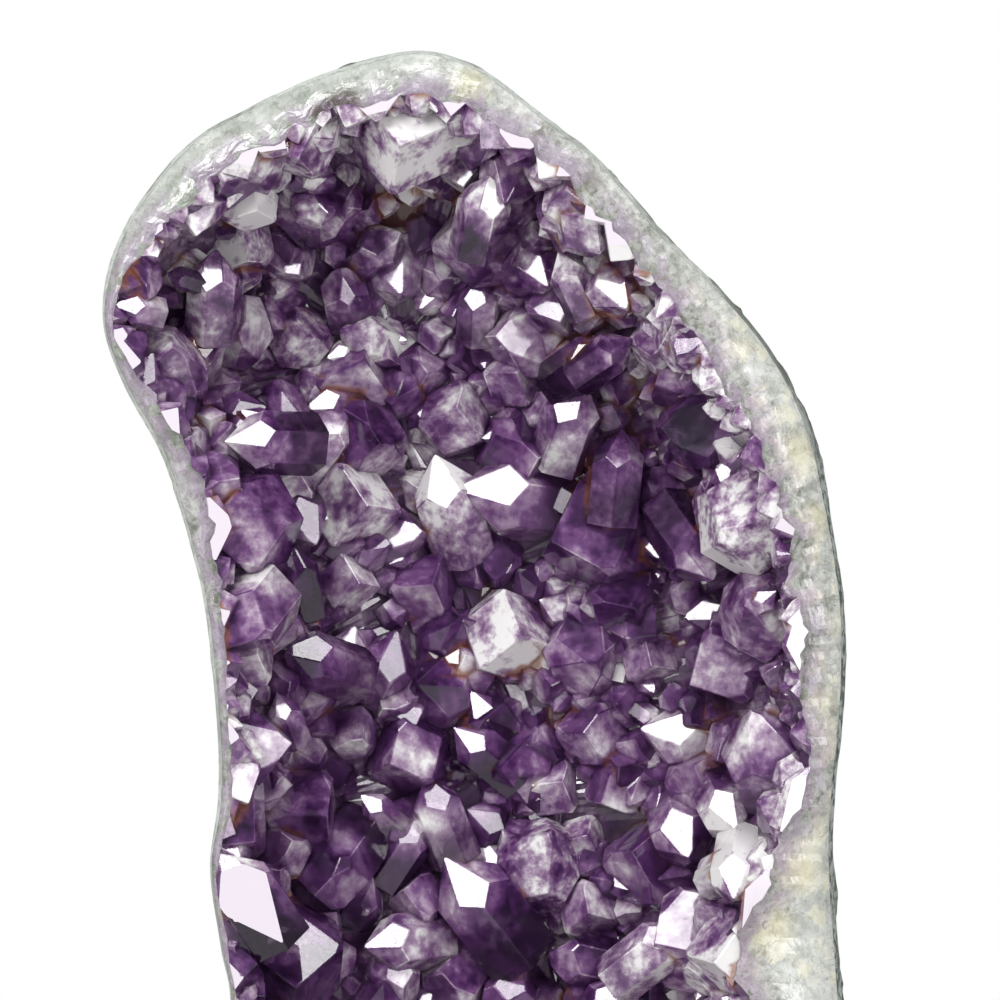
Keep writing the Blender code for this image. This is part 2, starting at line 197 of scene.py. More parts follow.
# Milky crystals: column, row, reach in pixels, and how milky they are from 0 to 1
MILKY_PLACES = [
    (390, 135, 95, 0.85), (255, 205, 42, 0.85), (300, 335, 42, 0.80), (470, 190, 30, 0.65),
    (300, 130, 45, 0.80), (485, 95, 55, 0.75), (575, 225, 45, 0.70), (540, 262, 34, 0.60),
    (640, 255, 62, 0.90), (700, 330, 56, 0.90), (740, 410, 54, 0.85), (715, 500, 34, 0.65),
    (790, 560, 40, 0.60), (545, 640, 46, 0.65), (548, 845, 44, 0.85), (355, 500, 36, 0.55),
    (460, 400, 36, 0.45), (545, 375, 36, 0.45), (250, 745, 50, 0.55), (780, 800, 60, 0.70),
    (740, 950, 70, 0.85), (155, 300, 36, 0.45), (200, 350, 30, 0.50), (815, 650, 40, 0.70),
    (230, 900, 26, 0.30), (390, 960, 40, 0.35), (580, 350, 36, 0.40), (425, 470, 22, 0.80),
    (240, 265, 46, 0.70), (330, 385, 40, 0.50), (180, 250, 40, 0.70), (300, 470, 40, 0.40),
    (185, 330, 34, 0.50), (410, 320, 34, 0.50), (600, 400, 34, 0.40),
]

# Crystals with the deepest colour, in the same way
DEEP_PLACES = [
    (325, 205, 50, 0.8), (452, 225, 46, 0.5), (662, 425, 46, 0.9), (552, 542, 56, 0.7),
    (640, 612, 44, 0.6), (745, 606, 50, 0.7), (240, 478, 50, 0.6), (430, 590, 60, 0.6),
    (380, 780, 80, 0.6), (286, 605, 46, 0.7), (560, 740, 70, 0.6), (636, 862, 50, 0.5),
    (752, 700, 40, 0.6), (470, 620, 50, 0.7), (300, 740, 40, 0.9), (480, 740, 80, 0.9),
    (520, 135, 16, 0.9), (180, 395, 40, 0.6), (656, 950, 50, 0.4),
]

# Rusty seams, in the same way
RUSTY_PLACES = [
    (395, 190, 30, 0.9), (485, 245, 26, 0.7), (600, 480, 34, 0.8), (590, 330, 40, 0.8),
    (610, 520, 26, 0.6), (725, 745, 40, 0.6), (515, 660, 30, 0.9), (330, 460, 26, 0.5),
    (640, 410, 50, 0.6), (595, 190, 26, 0.8), (670, 850, 40, 0.5), (560, 850, 30, 0.4),
    (700, 540, 40, 0.4), (240, 345, 30, 0.4), (300, 760, 26, 0.4),
]

# Painted shade of dark gaps, and cream patches of the quartz, in the same way
GAP_SHADE_PLACES = [(318, 112, 9, 0.9), (332, 106, 10, 0.9), (348, 100, 11, 0.9), (590, 180, 8, 0.5)]
CREAMY_PLACES = [
    (800, 452, 16, 0.7), (815, 520, 14, 0.6), (822, 700, 12, 0.5), (800, 872, 18, 0.8),
    (770, 930, 20, 0.7), (470, 84, 16, 0.5), (745, 345, 10, 0.4),
]

# Sampling of the fine surfaces
CURVE_STEPS = 12
COARSE_ROUND = 48
FINE_ROUND = 480
LAST_TURN = math.radians(83)
HOLLOW_TURNS = [math.radians(a) for a in (0, 18, 38, 60)] + [LAST_TURN]
FINE_HOLLOW_TURNS = [math.radians(a) for a in (0, 9, 18, 28, 38, 49, 60, 72)] + [LAST_TURN]
FULL_CRUST_TURN = math.radians(50)
BAND_TURN_STEPS = 16
BACK_TURN_STEPS = 110
BACK_MIDDLE_STEPS = 12
POLISH_STEPS = 14
LUMP = 0.0040
LUMP_SIZE = 0.045
LUMPS_START = 0.02
LUMPS_FULL = 0.05
BED_LUMP = 0.0035
BED_LUMP_SIZE = 0.012
BACK_SQUARENESS = 2.45
HOLLOW_SQUARENESS = 2.3
BAND_SQUARENESS = 2.0


def on_rim(column, row):
    """The point of the rim's plane that lies at this column and row, as (x, z)."""
    return Vector(((column - MIDDLE_COLUMN) * PIXEL, (BASE_ROW - row) * PIXEL))


def smooth_between(before, start, end, after, share):
    """A point of the smooth curve from start to end, at a share of the way."""
    bend_out = (end - before) / 2
    bend_in = (after - start) / 2
    straight = end - start
    square = share * share
    cube = square * share
    run = straight * (3 * square - 2 * cube)
    return start + run + bend_out * (share - 2 * square + cube) + bend_in * (cube - square)


def smooth_ring(points, steps):
    """Evenly spaced points on the closed smooth curve through points."""
    count = len(points)
    dense = []
    for i in range(count):
        around = [points[(i + k) % count] for k in (-1, 0, 1, 2)]
        dense += [smooth_between(*around, k / CURVE_STEPS) for k in range(CURVE_STEPS)]
    lengths = [0.0]
    for i, point in enumerate(dense):
        lengths.append(lengths[-1] + Vector((dense[(i + 1) % len(dense)] - point)[:2]).length)
    ring = []
    k = 0
    for i in range(steps):
        target = lengths[-1] * i / steps
        while lengths[k + 1] < target:
            k += 1
        share = (target - lengths[k]) / (lengths[k + 1] - lengths[k])
        ring.append(dense[k].lerp(dense[(k + 1) % len(dense)], share))
    return ring


def nearest_on_spine(point):
    """The point of the middle line closest to point."""
    line = [on_rim(*place) for place in SPINE]
    best = line[0]
    for start, end in zip(line, line[1:]):
        along = end - start
        share = (point - start).dot(along) / along.length_squared
        found = start + along * min(max(share, 0.0), 1.0)
        if (point - found).length < (point - best).length:
            best = found
    return best


def row_point(flat, depth):
    """A point of the rim's plane moved this deep into the geode."""
    return Vector((flat.x, FRONT + depth, flat.y))


class Rib:
    """One spoke of the geode: where it meets the outline, the opening and the middle line."""

    def __init__(self, outline, opening, rock):
        self.outline = outline
        self.opening = opening
        self.middle = nearest_on_spine(outline)
        width = (outline - opening).length
        self.drop = min(max(EDGE_ROLL * width, EDGE_ROLL_LEAST), EDGE_ROLL_MOST)
        self.rock = min(rock / width, MOST_BARE_ROCK)
        inside = 1 - self.rock
        self.seam = opening.lerp(outline, inside)
        self.seam_depth = self.polish_depth(inside)

    def polish_depth(self, share):
        """Depth of the ground face at a share of the way from the opening to the outline."""
        return self.drop * (1 - math.sqrt(max(1 - share * share, 0.0)))

    def polished(self, share):
        flat = self.opening.lerp(self.outline, share)
        return row_point(flat, self.polish_depth(share))

    def bowl(self, edge, edge_depth, floor, squareness, turn, inset=0.0):
        """A point of the bowl that hangs from edge. Turn 0 is the edge and LAST_TURN the flat bottom."""
        power = 2 / squareness
        out = edge - self.middle
        out = out * (1 - inset / out.length)
        flat = self.middle + out * math.cos(turn) ** power
        down = 1.0 if turn == LAST_TURN else math.sin(turn) ** power
        return row_point(flat, edge_depth + (floor - inset - edge_depth) * down)


# The grain of the quartz makes the edge of the opening ragged
RAGGED = 0.0035
RAGGED_SIZE = 0.009
RAGGED_SHARE = 0.3
FINE_RAGGED = 0.6
FINE_RAGGED_TIMES = 2.7


def make_ribs(steps, ragged=0.0):
    """Evenly spaced ribs round the rim, with the opening's edge up to ragged metres uneven."""
    outlines, openings, rocks = zip(*RIM)
    corners = [
        Vector((*on_rim(*outline), *on_rim(*opening), rock * PIXEL))
        for outline, opening, rock in zip(outlines, openings, rocks)
    ]
    ribs = []
    for spot in smooth_ring(corners, steps):
        outline, opening = Vector(spot[:2]), Vector(spot[2:4])
        across = outline - opening
        wander = noise.noise(row_point(opening, 0.0) / RAGGED_SIZE)
        wander += FINE_RAGGED * noise.noise(row_point(opening, 0.1) / RAGGED_SIZE * FINE_RAGGED_TIMES)
        most = min(ragged, across.length * RAGGED_SHARE)
        ribs.append(Rib(outline, opening + across.normalized() * wander * most, spot[4]))
    return ribs


def turns_to_bottom(steps):
    """Even turns from a bowl's edge down to its flat bottom."""
    return [LAST_TURN * k / steps for k in range(steps)] + [LAST_TURN]


def ring_solid(name, rings):
    """A closed mesh through rings of equally many points, its two ends filled flat."""
    bm = bmesh.new()
    loops = [[bm.verts.new(point) for point in ring] for ring in rings]
    for one, other in zip(loops, loops[1:]):
        front, back = (one, other) if one[0].co.y < other[0].co.y else (other, one)
        for i in range(len(front)):
            j = (i + 1) % len(front)
            bm.faces.new((front[i], front[j], back[j]))
            bm.faces.new((front[i], back[j], back[i]))
    bm.faces.new(list(reversed(loops[0])))
    bm.faces.new(loops[-1])
    bmesh.ops.recalc_face_normals(bm, faces=bm.faces)
    mesh = bpy.data.meshes.new(name)
    bm.to_mesh(mesh)
    bm.free()
    return mesh


def saw_base(mesh):
    """Cuts the mesh flat at the level of the base and closes the cut."""
    bm = bmesh.new()
    bm.from_mesh(mesh)
    everything = bm.verts[:] + bm.edges[:] + bm.faces[:]
    bmesh.ops.bisect_plane(bm, geom=everything, plane_co=(0, 0, 0), plane_no=(0, 0, -1), clear_outer=True)
    open_edges = [edge for edge in bm.edges if edge.is_boundary]
    bmesh.ops.triangle_fill(bm, edges=open_edges, use_dissolve=False, normal=(0, 0, -1))
    bmesh.ops.recalc_face_normals(bm, faces=bm.faces)
    bm.to_mesh(mesh)
    bm.free()


def band_back(rib, turn, inset=0.0):
    """A point between the quartz and the rock."""
    floor = HOLLOW_DEPTH + BAND_BEHIND_HOLLOW
    return rib.bowl(rib.seam, rib.seam_depth, floor, BAND_SQUARENESS, turn, inset)


def hollow_wall(rib, turn, inset=0.0):
    """A point between the quartz and the crust."""
    return rib.bowl(rib.opening, 0.0, HOLLOW_DEPTH, HOLLOW_SQUARENESS, turn, inset)


def away_from_middle(point):
    """The way out of the rock at a point of its back."""
    return Vector((point.x, point.y + DEPTH / 4, (point.z - HEIGHT / 2) / 2)).normalized()


# Relief of the broken rock, beside its lumps: height of each form, and its size along the surface
KNOB = 0.0018
KNOB_SIZE = 0.020
RIDGE = 0.0014
RIDGE_SIZE = 0.011
PIT = 0.006
PIT_SIZE = 0.0055
PIT_RARITY = 0.42
RELIEF_START = 0.004
RELIEF_FULL = 0.024


def share_between(value, start, full):
    """How far value has come from start to full, from 0 to 1."""
    return min(max((value - start) / (full - start), 0.0), 1.0)


def rough(point):
    """A point of the rock's back as it broke: lumps, smaller knobs, ridges and shallow pits."""
    depth = point.y - FRONT
    lumps = noise.noise(point / LUMP_SIZE) * LUMP
    knobs = noise.fractal(point / KNOB_SIZE, 0.9, 2.1, 4) * KNOB
    ridges = (0.5 - abs(noise.noise(point / RIDGE_SIZE + Vector((4, 2, 1))))) * RIDGE
    pits = max(noise.noise(point / PIT_SIZE + Vector((9, 0, 3))) - PIT_RARITY, 0.0) * PIT
    height = lumps * share_between(depth, LUMPS_START, LUMPS_FULL)
    height += (knobs + ridges - pits) * share_between(depth, RELIEF_START, RELIEF_FULL)
    return point + away_from_middle(point) * height


def make_basalt_mesh(ribs):
    """The rock: its bed for the quartz, a thin bare edge at the rim, and the rough back."""
    inner = [[band_back(rib, turn, -TOUCH) for rib in ribs] for turn in reversed(HOLLOW_TURNS)]
    edge = [row_point(rib.outline, rib.drop) for rib in ribs]
    outer = []
    for turn in turns_to_bottom(BACK_TURN_STEPS)[1:]:
        outer.append([rib.bowl(rib.outline, rib.drop, DEPTH, BACK_SQUARENESS, turn) for rib in ribs])
    bottom = outer[-1]
    for step in range(1, BACK_MIDDLE_STEPS):
        share = step / BACK_MIDDLE_STEPS
        outer.append([point.lerp(row_point(rib.middle, DEPTH), share) for point, rib in zip(bottom, ribs)])
    rough_rings = [[rough(point) for point in ring] for ring in outer]
    mesh = ring_solid("basalt_rock", inner + [edge] + rough_rings)
    saw_base(mesh)
    return mesh


# Relief of the ground quartz: its height by the crystals, and its size
GRAIN = 0.0006
GRAIN_SIZE = 0.006
GRAIN_FALL = 0.7


def make_band_mesh(ribs):
    """The quartz: the hollow's wall, the ground rim and the side that the rock holds."""
    wall = [[hollow_wall(rib, turn) for rib in ribs] for turn in reversed(turns_to_bottom(BAND_TURN_STEPS))]
    polish = []
    for step in range(1, POLISH_STEPS):
        share = step / POLISH_STEPS
        ring = []
        for rib in ribs:
            point = rib.polished(share * (1 - rib.rock))
            grain = noise.fractal(point / GRAIN_SIZE, 0.8, 2.2, 3) * GRAIN * (1 - share) ** GRAIN_FALL
            ring.append(point - Vector((0, grain, 0)))
        polish.append(ring)
    back = [[band_back(rib, turn) for rib in ribs] for turn in turns_to_bottom(BAND_TURN_STEPS)]
    mesh = ring_solid("quartz_rim", wall + polish + back)
    saw_base(mesh)
    mark_band(mesh, ribs)
    return mesh


def tree_of(spots):
    """A tree that finds the nearest of these spots."""
    tree = kdtree.KDTree(len(spots))
    for k, spot in enumerate(spots):
        tree.insert(spot, k)
    tree.balance()
    return tree


def mark_band(mesh, ribs):
    """Writes how far each place is from the edge of the crystals, in metres, as "across", where shade of
    dark gaps is painted on the quartz, and where it has cream patches."""
    edge = tree_of([row_point(rib.opening, 0.0) for rib in ribs])
    set_attribute(mesh, "across", "POINT", [edge.find(vert.co)[2] for vert in mesh.vertices])
    for name, places in (("gap", GAP_SHADE_PLACES), ("cream", CREAMY_PLACES)):
        marks = [place_share(Vector((vert.co.x, vert.co.z)), places) for vert in mesh.vertices]
        set_attribute(mesh, name, "POINT", marks)


def crust_bed(ribs, turns):
    """The layer that the points grow from. Its back reaches into the band, and is trimmed later."""
    behind = [[hollow_wall(rib, turn, -2 * LIP) for rib in ribs] for turn in reversed(turns)]
    front = []
    for turn in turns:
        thickness = CRUST_AT_RIM + (CRUST - CRUST_AT_RIM) * min(turn / FULL_CRUST_TURN, 1.0)
        ring = []
        for rib in ribs:
            point = rib.bowl(rib.opening, LIP, HOLLOW_DEPTH, HOLLOW_SQUARENESS, turn, thickness)
            swell = noise.noise(point / BED_LUMP_SIZE) * BED_LUMP
            ring.append(point - Vector((0, swell, 0)))
        front.append(ring)
    return ring_solid("crust_bed", behind + front)


def hollow_space(ribs, turns):
    """All the room inside the band, out to where points may stand proud of the rim."""
    wall = [[hollow_wall(rib, turn, TOUCH) for rib in ribs] for turn in reversed(turns)]
    proud = [point - Vector((0, PROUD, 0)) for point in wall[-1]]
    return ring_solid("hollow_space", wall + [proud])


# Edges of the larger points are worn by this much, and short ones by at most this share of their length
WORN = 0.00035
WORN_FROM = 0.0085
WORN_SHARE = 0.3
SIDES = 6
CORNERS_MEET = 0.002


def add_crystal(bm, number, tip, axis, towards, radius, uneven, length):
    """Adds one six-sided quartz point to bm, and marks its faces with its number.

    It grows along axis to its tip. One steep face looks towards the given direction, and every second
    face is set back by uneven times the radius, as in real quartz.
    """
    side = (towards - axis * towards.dot(axis)).normalized()
    turn = Matrix((side, axis.cross(side), axis)).transposed().to_4x4()
    prism = bmesh.new()
    mark = prism.faces.layers.int.new("crystal")
    bmesh.ops.create_cone(
        prism, segments=SIDES, radius1=radius, radius2=radius, depth=length, cap_ends=True
    )
    bmesh.ops.rotate(prism, verts=prism.verts, matrix=Matrix.Rotation(math.radians(180 / SIDES), 3, "Z"))
    bmesh.ops.translate(prism, verts=prism.verts, vec=(0, 0, radius * SUNK - length / 2))
    for k in range(SIDES):
        heading = math.radians(360 / SIDES * k)
        steep = math.sin(FACE_ANGLE)
        normal = Vector((steep * math.cos(heading), steep * math.sin(heading), math.cos(FACE_ANGLE)))
        through = normal * (uneven * radius if k % 2 else 0.0)
        everything = prism.verts[:] + prism.edges[:] + prism.faces[:]
        bmesh.ops.bisect_plane(
            prism, geom=everything, plane_co=through, plane_no=normal, clear_outer=True
        )
        bmesh.ops.holes_fill(prism, edges=[edge for edge in prism.edges if edge.is_boundary])
    bmesh.ops.remove_doubles(prism, verts=prism.verts, dist=radius * CORNERS_MEET)
    if radius > WORN_FROM:
        shortest = min(edge.calc_length() for edge in prism.edges)
        wear = min(WORN, shortest * WORN_SHARE)
        bmesh.ops.bevel(prism, geom=prism.edges[:], offset=wear, segments=1, affect="EDGES")
    bmesh.ops.recalc_face_normals(prism, faces=prism.faces)
    for face in prism.faces:
        face[mark] = number
    bmesh.ops.transform(prism, verts=prism.verts, matrix=Matrix.Translation(tip) @ turn)
    mesh = bpy.data.meshes.new("point")
    prism.to_mesh(mesh)
    prism.free()
    bm.from_mesh(mesh)
    bpy.data.meshes.remove(mesh)


# The bed is looked for from this far in front of the rim
BEFORE_RIM = 0.05


def bed_under(tree, flat):
    """The bed's point and outward normal behind a place on the rim's plane, or None outside the hollow."""
    spot, normal, _, _ = tree.ray_cast(row_point(flat, -BEFORE_RIM), Vector((0, 1, 0)))
    if spot is None:
        return None
    return spot, normal if normal.y < 0 else -normal


class Planner:
    """Decides where each point of the crust stands, over a bed given as a tree of its faces."""

    def __init__(self, tree):
        self.tree = tree
        self.rng = random.Random(SEED)
        self.plans = []
        self.taken = []

    def add(self, place, radius, rise, uneven, aim):
        """Plans a point in front of place on the rim's plane. aim gives its axis and its turn."""
        found = bed_under(self.tree, place)
        if found is None:
            return
        spot, normal = found
        ahead = rise * radius / max(-normal.y, LEAST_LEAN)
        tip = Vector((spot.x, max(spot.y - ahead, FRONT - PROUD / 2), spot.z))
        axis, towards = aim(tip, normal)
        buried = (rise + SUNK) * radius / max(axis.dot(normal), LEAST_LEAN)
        length = min(max(buried, SHORTEST * radius), LONGEST * radius) + radius * SUNK
        self.plans.append((tip, axis, towards, radius, uneven, length))
        self.taken.append((spot, radius))

    def add_bright(self, column, row, length, way):
        """A point with a bright face of this length in pixels. It lies this way from the face's middle."""
        self.add_lit(on_rim(column, row), length * PIXEL / FACE_LENGTH, BRIGHT_RISE, way)

    def add_lit(self, place, radius, rise, way, lamp=LAMP):
        """A point with one face turned so that it mirrors the lamp to the eye."""
        def aim(tip, normal):
            shine = ((EYE - tip).normalized() + (lamp - tip).normalized()).normalized()
            angle = math.radians(way)
            across = Vector((math.cos(angle), 0, math.sin(angle)))
            along = (across - shine * across.dot(shine)).normalized()
            return shine * math.cos(FACE_ANGLE) + along * math.sin(FACE_ANGLE), shine

        self.add(place, radius, rise, self.rng.uniform(0.0, BRIGHT_UNEVEN), aim)

    def add_dull(self, place, radius, rise, forward, spread):
        """A point that grows out of the bed, bent forward and then turned by chance."""
        rng = self.rng

        def aim(tip, normal):
            shift = Vector([rng.gauss(0, spread) for _ in range(3)])
            towards = Vector([rng.uniform(-1, 1) for _ in range(3)])
            axis = (normal + Vector((0, -forward, 0))).normalized() + shift
            return axis.normalized(), towards.normalized()

        self.add(place, radius, rise, rng.uniform(0.0, DULL_UNEVEN), aim)

    def add_known(self, bright, dull):
        """Points in the places that two lists give."""
        for point in bright:
            self.add_bright(*point)
        for column, row, width in dull:
            radius = DULL_SWELL * width * PIXEL / 2
            self.add_dull(on_rim(column, row), radius, DULL_RISE, DULL_FORWARD, DULL_SPREAD)

    def fill(self, tries, largest, smallest, crowding, steepest=1.0, steep_smallest=0.0, lit=0.0):
        """Points wherever there is room, the largest first. A share of them, lit, face the light."""
        rng = self.rng
        low, high = on_rim(LEFT_COLUMN, BASE_ROW), on_rim(RIGHT_COLUMN, CROWN_ROW)
        for k in range(tries):
            place = Vector((rng.uniform(low.x, high.x), rng.uniform(low.y, high.y)))
            radius = largest * (smallest / largest) ** (k / tries)
            radius *= rng.uniform(1 - FILL_VARIES, 1 + FILL_VARIES)
            found = bed_under(self.tree, place)
            if found is None or (found[1].y > steepest and radius < steep_smallest):
                continue
            if all((found[0] - spot).length > crowding * (radius + size) for spot, size in self.taken):
                if lit and rng.random() < lit:
                    lamp = LAMP if rng.random() < SMALL_LIT_BY_KEY else rng.choice(DIM_LAMPS)
                    self.add_lit(place, radius, FILL_RISE, rng.uniform(-180, 180), lamp)
                else:
                    self.add_dull(place, radius, FILL_RISE, FILL_FORWARD, FILL_SPREAD)


def plan_crystals(tree):
    """Every point of the crust: the large ones where the part has them, then the small ones."""
    planner = Planner(tree)
    planner.add_known(BRIGHT_POINTS, DULL_POINTS)
    planner.fill(FILL_TRIES, FILL_LARGEST, FILL_SMALLEST, CROWDING, STEEP, STEEP_SMALLEST)
    planner.add_known(SMALL_BRIGHT_POINTS, SMALL_DULL_POINTS)
    planner.fill(
        SMALL_FILL_TRIES, SMALL_FILL_LARGEST, SMALL_FILL_SMALLEST, SMALL_CROWDING, lit=SMALL_LIT
    )
    return planner.plans


def join_solids(mesh, other, operation, within=False):
    """The Boolean of two meshes, as a new mesh."""
    obj = bpy.data.objects.new("joined", mesh)
    tool = bpy.data.objects.new("tool", other)
    for made in (obj, tool):
        bpy.context.scene.collection.objects.link(made)
    modifier = obj.modifiers.new("join", "BOOLEAN")
    modifier.operation = operation
    modifier.object = tool
    modifier.solver = "EXACT"
    modifier.use_self = within
    graph = bpy.context.evaluated_depsgraph_get()
    result = bpy.data.meshes.new_from_object(obj.evaluated_get(graph))
    for made in (obj, tool):
        bpy.data.objects.remove(made)
    return result


def keep_largest_piece(bm):
    """Drops crumbs that the trimming cut loose from the crust."""
    left = set(bm.verts)
    islands = []
    while left:
        front = [left.pop()]
        island = set(front)
        while front:
            near = [edge.other_vert(vert) for vert in front for edge in vert.link_edges]
            front = [vert for vert in set(near) if vert in left]
            left.difference_update(front)
            island.update(front)
        islands.append(island)
    largest = max(islands, key=len)
    crumbs = [vert for island in islands if island is not largest for vert in island]
    bmesh.ops.delete(bm, geom=crumbs, context="VERTS")


# The crust's broad faces are divided down to about this edge, so that rust stains and painted shade follow
# the seams
FINE_EDGE = 0.0040
DIVIDE_PASSES = 4
SLIVER = 0.0012
SEAM_REACH = 0.004
BACK_TOUCH = 0.0001

# How milky and how deep a crystal with no place of its own may be, and what the bed between them is
PLAIN_MILK = 0.25
PLAIN_DEPTH = 0.55
BED_CHARACTER = (0.35, 0.3, 0.5)

# Crystals within this reach of the rim turn milky, more so towards the right
RIM_MILK_REACH = 0.028
RIM_MILK_START = -0.02
RIM_MILK_FULL = 0.06
RIM_MILK_LEFT = 0.35
RIM_MILK_MORE = 0.75
RIM_MILK_LEAST = 0.6
RIM_MILK_MOST = 1.2


def refine(bm):
    """Divides broad faces and leaves slivers as they are."""
    bmesh.ops.triangulate(bm, faces=bm.faces[:])
    for _ in range(DIVIDE_PASSES):
        long_edges = []
        for edge in bm.edges:
            length = edge.calc_length()
            if length > FINE_EDGE and all(2 * face.calc_area() / length > SLIVER for face in edge.link_faces):
                long_edges.append(edge)
        bmesh.ops.subdivide_edges(bm, edges=long_edges, cuts=1)
        bmesh.ops.triangulate(bm, faces=[face for face in bm.faces if len(face.verts) > 3])


# A marked place fades out over the last part of its reach, from PLACE_EDGE - 1 to PLACE_EDGE times it
PLACE_EDGE = 1.6


def place_share(flat, places):
    """How strongly a list of round places marks a place on the rim's plane, from 0 to 1."""
    most = 0.0
    for column, row, reach, strength in places:
        away = (flat - on_rim(column, row)).length / (reach * PIXEL)
        most = max(most, strength * min(max(PLACE_EDGE - away, 0.0), 1.0))
    return most


def set_attribute(mesh, name, domain, values):
    """Writes one number for each face, corner or point."""
    attribute = mesh.attributes.new(name, "FLOAT", domain)
    attribute.data.foreach_set("value", np.asarray(values, dtype=np.float32))


# How fast the painted shade of a face, which stands in for internal reflections, turns with its direction,
# and how far the colour swings along
FACET_SPIN = 5.0
LEAST_SWING = 0.3
BED_ALONG = 2.5


def growth_habits(count):
    """For each crystal, how its colour fades along it, and a vector that paints each face its own shade."""
    rng = random.Random(SEED + 2)
    swing = [0.0] + [rng.choice((-1, 1)) * rng.uniform(LEAST_SWING, 1.0) for _ in range(count - 1)]
    spin = [[rng.gauss(0, FACET_SPIN) for _ in range(3)] for _ in range(count)]
    return np.array(swing), np.array(spin)


def read_numbers(items, name, count, kind, across=1):
    """One property of all of a mesh's faces, corners or points, as an array."""
    values = np.zeros(count * across, dtype=kind)
    items.foreach_get(name, values)
    return values.reshape(-1, across) if across > 1 else values


def mark_characters(mesh, plans, crystal, ribs):
    """Writes how milky and how deep each crystal is, and its own tone, each from 0 to 1."""
    rng = random.Random(SEED + 1)
    rim = tree_of([row_point(rib.opening, 0.0) for rib in ribs])
    characters = [BED_CHARACTER]
    for tip, *_ in plans:
        flat = Vector((tip.x, tip.z))
        right = share_between(tip.x, RIM_MILK_START, RIM_MILK_FULL)
        near_rim = max(1 - rim.find(row_point(flat, 0.0))[2] / RIM_MILK_REACH, 0.0)
        plain = rng.uniform(0.0, PLAIN_MILK)
        at_rim = near_rim * (RIM_MILK_LEFT + RIM_MILK_MORE * right)
        at_rim *= rng.uniform(RIM_MILK_LEAST, RIM_MILK_MOST)
        milk = min(max(plain, at_rim, place_share(flat, MILKY_PLACES)), 1.0)
        deep = max(rng.uniform(0.0, PLAIN_DEPTH), place_share(flat, DEEP_PLACES))
        characters.append((milk, deep, rng.random()))
    for name, values in zip(("milk", "deep", "tone"), np.array(characters).T):
        set_attribute(mesh, name, "FACE", values[crystal])


def mark_growth(mesh, plans, crystal, corner_crystal, corner_place):
    """Writes how far below its crystal's tip each corner lies, in radii, as "along", how the crystal's
    colour fades there, and a painted shade, standing in for internal reflections, that differs from one
    of its faces to the next."""
    tips = np.array([(0.0, 0.0, 0.0)] + [tuple(plan[0]) for plan in plans])
    axes = np.array([(0.0, 0.0, 0.0)] + [tuple(plan[1]) for plan in plans])
    radii = np.array([1.0] + [plan[3] for plan in plans])
    below = np.einsum("ij,ij->i", tips[corner_crystal] - corner_place, axes[corner_crystal])
    along = np.where(corner_crystal > 0, below / radii[corner_crystal], BED_ALONG)
    set_attribute(mesh, "along", "CORNER", along)
    swing, spin = growth_habits(len(plans) + 1)
    set_attribute(mesh, "fade", "CORNER", np.clip(along / 2 - 0.5, -0.5, 0.5) * swing[corner_crystal])
    normals = read_numbers(mesh.polygons, "normal", len(mesh.polygons), np.float64, 3)
    set_attribute(mesh, "facet", "FACE", np.sin(np.einsum("ij,ij->i", normals, spin[crystal])))


def mark_seams(mesh, places, corner_point, corner_crystal):
    """Writes how close each point is to a seam between crystals, from 0 to 1 on it."""
    lowest = np.full(len(places), len(corner_crystal))
    highest = np.full(len(places), -1)
    np.minimum.at(lowest, corner_point, corner_crystal)
    np.maximum.at(highest, corner_point, corner_crystal)
    seams = tree_of(places[lowest != highest])
    near = [max(1 - seams.find(place)[2] / SEAM_REACH, 0.0) for place in places]
    set_attribute(mesh, "seam", "POINT", near)


def mark_back(mesh, crystal, space):
    """Writes which faces are the bed's own back, against the quartz."""
    bm = bmesh.new()
    bm.from_mesh(space)
    wall = BVHTree.FromBMesh(bm)
    bm.free()
    at_back = [not number and wall.find_nearest(face.center)[3] < BACK_TOUCH
               for number, face in zip(crystal, mesh.polygons)]
    set_attribute(mesh, "back", "FACE", at_back)


# Chance flecks of rust: their size, the noise where they start and are full, and how rusty they are
FLECK_SIZE = 0.021
FLECK_START = 0.08
FLECK_FULL = 0.57
FLECK_MOST = 0.7


def rustiness(place):
    """How rusty the seams are at a place, from 0 to 1."""
    fleck = share_between(noise.fractal(place / FLECK_SIZE, 0.7, 2.0, 3), FLECK_START, FLECK_FULL)
    return max(place_share(Vector((place.x, place.z)), RUSTY_PLACES), FLECK_MOST * fleck)


def mark_crust(mesh, plans, space, ribs):
    """Writes what the amethyst's finish needs to know. A face of the bed has crystal number 0."""
    faces, corners, points = len(mesh.polygons), len(mesh.loops), len(mesh.vertices)
    crystal = read_numbers(mesh.attributes["crystal"].data, "value", faces, np.int32)
    first_corner = read_numbers(mesh.polygons, "loop_start", faces, np.int32)
    corner_point = read_numbers(mesh.loops, "vertex_index", corners, np.int32)
    places = read_numbers(mesh.vertices, "co", points, np.float64, 3)
    corner_crystal = np.repeat(crystal, np.diff(np.append(first_corner, corners)))
    mark_characters(mesh, plans, crystal, ribs)
    mark_growth(mesh, plans, crystal, corner_crystal, places[corner_point])
    mark_seams(mesh, places, corner_point, corner_crystal)
    mark_back(mesh, crystal, space)
    set_attribute(mesh, "rust", "POINT", [rustiness(Vector(place)) for place in places])


